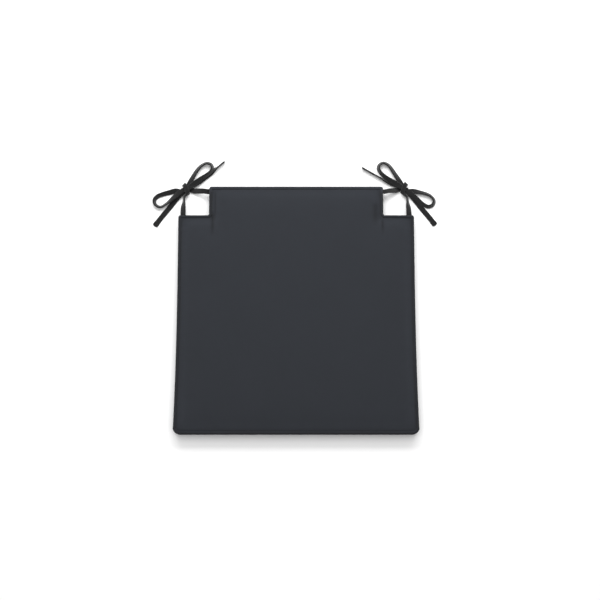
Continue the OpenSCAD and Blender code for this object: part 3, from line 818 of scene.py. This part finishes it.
for node, seam_z, fold_z in (
    ("zip_strip_lower", boxing_lo - tucked_in, zip_lo),
    ("zip_strip_upper", boxing_hi + tucked_in, zip_hi),
):
    face_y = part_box(node)[1].y
    verts, faces, lay = folded_strip(seam_z, fold_z, face_y)
    # Its cloth carries the boxing's painted shade.
    strip = piece(f"{node}_cloth", verts, faces, boxing_shaded_cloth, lay)
    row_z = fold_z + stitch_row * (seam_z - fold_z)
    sewn, sewn_faces = [], []
    for x in np.arange(-back_seam_x + 2 * mm, back_seam_x - 4 * mm, stitch_pitch):
        xs = x + stitch_long * np.array([0, 0.15, 0.5, 0.85, 1])
        ys = face_y + np.array([-0.25, 0.1, 0.2, 0.1, -0.25]) * mm
        add_tube(sewn, sewn_faces, np.column_stack([xs, ys, 0 * xs + row_z]), thread_r, 5)
    stitching = piece(f"{node}_stitching", sewn, sewn_faces, thread_cloth, np.array(sewn))
    for made in (strip, stitching):
        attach(made, "pad")
    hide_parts(node)

# ---- Zip end tabs ----
# A short tab of the cover cloth at each end of the zip. It covers the cut ends of the tapes
# and is sewn down over them, between the zip strips and the notch boxing.
tab_lo, tab_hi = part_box("zip_end_tabs")
tab_w = 8 * mm
verts, faces = [], []
for side in (-1, 1):
    xs = side * np.linspace(back_seam_x - tab_w, back_seam_x, 9)
    zs = np.linspace(tab_lo.z - 0.2 * mm, tab_hi.z + 0.2 * mm, 7)
    folds = 0.35 * mm * np.sin(np.pi * np.linspace(0, 1, 9)) ** 0.5
    rings = []
    for x, fold in zip(xs, folds):
        face = [(x, tab_hi.y - 0.35 * mm + fold, z) for z in zs]
        back = [(x, tab_lo.y + 0.05 * mm, z) for z in zs[::-1]]
        rings.append(face + back)
    rings = np.array(rings)
    points, found = skin(rings, capped=True)
    faces += [[len(verts) + i for i in f] for f in found]
    verts += [tuple(p) for p in points]
verts = np.array(verts)
# Its cloth carries the boxing's painted shade.
tabs = piece("zip_end_tabs_cloth", verts, faces, boxing_shaded_cloth, verts[:, [0, 2, 1]] * (1, 1, 0))
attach(tabs, "pad")
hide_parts("zip_end_tabs")

# ---- Zip tapes ----
# Two woven polyester tapes, one behind each strip and stitched to it. Their inner edges carry
# the coils and lie side by side at the middle of the gap.
zip_z = (zip_lo + zip_hi) / 2
coil_gap = 0.36 * mm
tape_rib = 1.6 * mm
tape_cloth = woven("black_zip_tape", (0.012, 0.012, 0.013), 0.35 * mm, relief=0.4, gloss=0.3)
for side, name in ((1, "upper"), (-1, "lower")):
    lo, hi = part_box(f"zip_tape_{name}")
    inner_z, outer_z = zip_z + side * coil_gap, hi.z if side > 0 else lo.z
    xs = np.linspace(lo.x, hi.x, 121)
    zs = np.linspace(min(inner_z, outer_z), max(inner_z, outer_z), 9)
    rib = 0.08 * mm * np.cos(zs * 2 * math.pi / tape_rib)
    rings = np.array([[(x, hi.y - 0.1 * mm + r, z) for z, r in zip(zs, rib)]
                      + [(x, lo.y, z) for z in zs[::-1]] for x in xs])
    verts, faces = skin(rings, capped=True)
    tape = piece(f"zip_tape_{name}_woven", verts, faces, tape_cloth, verts[:, [0, 2, 1]] * (1, 1, 0))
    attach(tape, "pad")
    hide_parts(f"zip_tape_{name}")

# ---- Zip coils ----
# A coil of nylon wire on the edge of each tape, wound round a thin cord and sewn down over it.
# The two coils mesh where the slider has passed, and they are made meshed from end to end.
coil_nylon, tree, shader = blank("black_nylon_coil")
where = wire(tree, "ShaderNodeTexCoord", {}, 3)
speck = wire(tree, "ShaderNodeTexNoise", {"Vector": where, "Scale": 900, "Detail": 2})
colour = mixed(tree, speck, (0.010, 0.010, 0.011), (0.022, 0.022, 0.023))
surfaced(tree, shader, colour, (0.3, 0.55), speck, 0.2, 0.05 * mm)

coil_pitch = 1.25 * mm
coil_wire = 0.33 * mm
for side, name in ((1, "upper"), (-1, "lower")):
    lo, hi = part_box(f"zip_coil_{name}")
    turns = int((hi.x - lo.x) / coil_pitch)
    angle = np.linspace(0, 2 * math.pi * turns, 12 * turns + 1)
    outer_z = hi.z if side > 0 else lo.z
    mid_y, mid_z = (lo.y + hi.y) / 2, (zip_z + side * coil_gap + outer_z) / 2
    half_y = (hi.y - lo.y) / 2 - coil_wire
    half_z = abs(outer_z - zip_z - side * coil_gap) / 2 - coil_wire
    line = np.column_stack([
        lo.x + coil_wire + (hi.x - lo.x - 2 * coil_wire) * (angle + 0.5 * side) / (angle[-1] + 1),
        mid_y + half_y * np.sin(angle),
        mid_z + half_z * np.cos(angle) * side,
    ])
    verts, faces = [], []
    add_tube(verts, faces, line, coil_wire, 6)
    cord_line = np.array([(x, mid_y, mid_z) for x in np.linspace(lo.x, hi.x, 90)])
    add_tube(verts, faces, cord_line, half_y * 0.55, 6)
    coil = piece(f"zip_coil_{name}_nylon", verts, faces, coil_nylon)
    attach(coil, "pad")
    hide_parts(f"zip_coil_{name}")

# ---- Zip stops, slider and pull ----
# The zip's metal, all of it zinc with a dark plating: three stops crimped on the ends of the
# coils, a die-cast slider that runs on them, and the pull, hinged on the slider.
zip_metal, tree, shader = blank("gunmetal_zinc")
where = wire(tree, "ShaderNodeTexCoord", {}, 3)
grain = wire(tree, "ShaderNodeTexNoise", {"Vector": where, "Scale": 1400, "Detail": 3})
blotch = wire(tree, "ShaderNodeTexNoise", {"Vector": where, "Scale": 260, "Detail": 2})
wear_and_shading_mask = wire(tree, "ShaderNodeMapRange", [blotch, 0.45, 0.75, 0.0, 1.0])
colour = mixed(tree, wear_and_shading_mask, (0.055, 0.056, 0.06), (0.085, 0.086, 0.09))
surfaced(tree, shader, colour, (0.3, 0.5), grain, 0.25, 0.04 * mm)
shader.inputs["Metallic"].default_value = 0.85
for node in ("zip_slider", "zip_pull", "zip_stops"):
    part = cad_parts[node]
    part.data.materials.clear()
    part.data.materials.append(zip_metal)
    for polygon in part.data.polygons:
        polygon.use_smooth = True
    round_off = part.modifiers.new("cast_edges", "BEVEL")
    round_off.width = 0.22 * mm
    round_off.segments = 3
    round_off.limit_method = "ANGLE"
    round_off.angle_limit = math.radians(40)
    round_off.harden_normals = True

# ---- Foam slab ----
# The core of the pad: one slab of open-cell upholstery foam, sawn to the cover's pattern and
# put in through the zip. It is cut back behind the zip, to leave the slider its room.
foam_lo, foam_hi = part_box("foam_core")
foam_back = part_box("zip_slider")[0].y - 0.5 * mm
foam_cell = 8 * mm


def foam():
    """Cream open-cell foam: a sponge of small round cells, a little yellowed in patches."""
    material, tree, shader = blank("cream_open_cell_foam")
    where = wire(tree, "ShaderNodeTexCoord", {}, 3)
    cells = wire(tree, "ShaderNodeTexVoronoi", {"Vector": where, "Scale": 900})
    patch = wire(tree, "ShaderNodeTexNoise", {"Vector": where, "Scale": 25, "Detail": 3})
    aged = mixed(tree, patch, (0.82, 0.72, 0.42), (0.88, 0.82, 0.6))
    surfaced(tree, shader, aged, (0.98, 0.86), cells, 0.8, 0.4 * mm)
    return material


def level(z):
    """A layer's height when it is the same everywhere."""
    return lambda x, y: z


slab = [
    (7 * mm, level(foam_lo.z + 0.2 * mm)),
    (5.6 * mm, level(boxing_lo)),
    (5.2 * mm, level(boxing_lo + 2 * mm)),
    (5.2 * mm, level(boxing_hi - 2 * mm)),
    (5.6 * mm, level(boxing_hi)),
    (7 * mm, level(foam_hi.z - 0.2 * mm)),
]
verts, faces = closed_slab(foam_cell, slab)
behind_zip = np.abs(verts[:, 0]) < back_seam_x + 0.6 * mm
verts[behind_zip, 1] = np.minimum(verts[behind_zip, 1], foam_back)
foam_slab = piece("foam_slab", verts, faces, foam())
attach(foam_slab, "pad")
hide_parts("foam_core")

# ---- Wadding ----
# A layer of loose polyester wadding on each face of the foam, which softens the slab's edges
# and fills out the crown of the top panel. It lies between foam and cover, and isn't sewn.


def wadding():
    """White polyester wadding: crimped fibres in every direction, with thin and thick places."""
    material, tree, shader = blank("white_polyester_wadding")
    where = wire(tree, "ShaderNodeTexCoord", {}, 3)
    crimped = {"Vector": where, "Scale": 500, "Detail": 8, "Distortion": 3}
    fibre = wire(tree, "ShaderNodeTexNoise", crimped)
    clump = wire(tree, "ShaderNodeTexNoise", {"Vector": where, "Scale": 60, "Detail": 3})
    colour = mixed(tree, clump, (0.76, 0.76, 0.74), (0.9, 0.9, 0.88))
    surfaced(tree, shader, colour, (0.99, 0.9), fibre, 0.9, 0.5 * mm)
    shader.inputs["Sheen Weight"].default_value = 0.4
    return material


def lofty(z, rise):
    """The uneven surface of a layer of wadding."""
    return lambda x, y: z + rise * math.sin(x / (17 * mm) + 1.1) * math.sin(y / (23 * mm))


def under_crown(x, y):
    """The height just below the top panel's inner face."""
    return panel_edge_z + float(crown(from_seam(x, y, panel_inset))) - cloth_t - 1.3 * mm


wadding_cell = 6 * mm
wadding_fibre = wadding()
layers = {
    "wadding_lower": [
        (8 * mm, level(cloth_t + 0.6 * mm)),
        (7.4 * mm, level(2.5 * mm)),
        (8 * mm, lofty(foam_lo.z - 0.3 * mm, 0.2 * mm)),
    ],
    "wadding_upper": [
        (8 * mm, level(foam_hi.z)),
        (7 * mm, level(foam_hi.z + 0.7 * mm)),
        (7.4 * mm, under_crown),
    ],
}
for node, layer in layers.items():
    verts, faces = closed_slab(wadding_cell, layer)
    behind_zip = np.abs(verts[:, 0]) < back_seam_x + 0.6 * mm
    verts[behind_zip, 1] = np.minimum(verts[behind_zip, 1], foam_back)
    batt = piece(f"{node}_batt", verts, faces, wadding_fibre)
    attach(batt, "pad")
    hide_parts(node)

# ---- Studio ----
# A plain white floor, lit evenly from all round and by one large soft lamp above and behind
# the pad, which leaves a short soft shadow in front of it.
floor_white, tree, shader = blank("matt_white_floor")
where = wire(tree, "ShaderNodeTexCoord", {}, 3)
mottle = wire(tree, "ShaderNodeTexNoise", {"Vector": where, "Scale": 3, "Detail": 2})
colour = mixed(tree, mottle, (0.93, 0.93, 0.93), (0.95, 0.95, 0.95))
surfaced(tree, shader, colour, (0.85, 0.95), mottle, 0.05, 0.1 * mm)
shader.inputs["Specular IOR Level"].default_value = 0.1
floor_half = 6
corners = [(x * floor_half, y * floor_half, 0) for x, y in ((-1, -1), (1, -1), (1, 1), (-1, 1))]
floor = piece("studio_floor", corners, [[0, 1, 2, 3]], floor_white)

world = bpy.data.worlds.new("white_room")
world.use_nodes = True
world.node_tree.nodes["Background"].inputs["Color"].default_value = (1, 1, 1, 1)
world.node_tree.nodes["Background"].inputs["Strength"].default_value = 0.44
bpy.context.scene.world = world
bpy.context.scene.view_settings.view_transform = "Standard"

lamps = (
    ("soft_lamp_behind", (0, 0.85, 0.95), (1.5, 0.5), 15.6),
    ("soft_lamp_overhead", (0, 0.3, 2.9), (2.4, 2.4), 45),
)
for lamp_name, place, size, watts in lamps:
    lamp = bpy.data.objects.new(lamp_name, bpy.data.lights.new(lamp_name, "AREA"))
    lamp.data.shape = "RECTANGLE"
    lamp.data.size, lamp.data.size_y = size
    lamp.data.energy = watts
    lamp.location = place
    lamp.rotation_euler = (-math.atan2(place[1] - 0.05, place[2]), 0, 0)
    lamp.visible_camera = False
    bpy.context.scene.collection.objects.link(lamp)

tilt = math.radians(8)
distance = 2.4
aimed_at = (0.0068, 0.0172, 0.014)
camera = bpy.data.objects.new("camera", bpy.data.cameras.new("camera"))
camera.data.lens = 81.36
camera.data.sensor_width = 36
x, y, z = aimed_at
camera.location = (x, y - distance * math.sin(tilt), z + distance * math.cos(tilt))
camera.rotation_euler = (tilt, 0, 0)
bpy.context.scene.collection.objects.link(camera)
bpy.context.scene.camera = camera
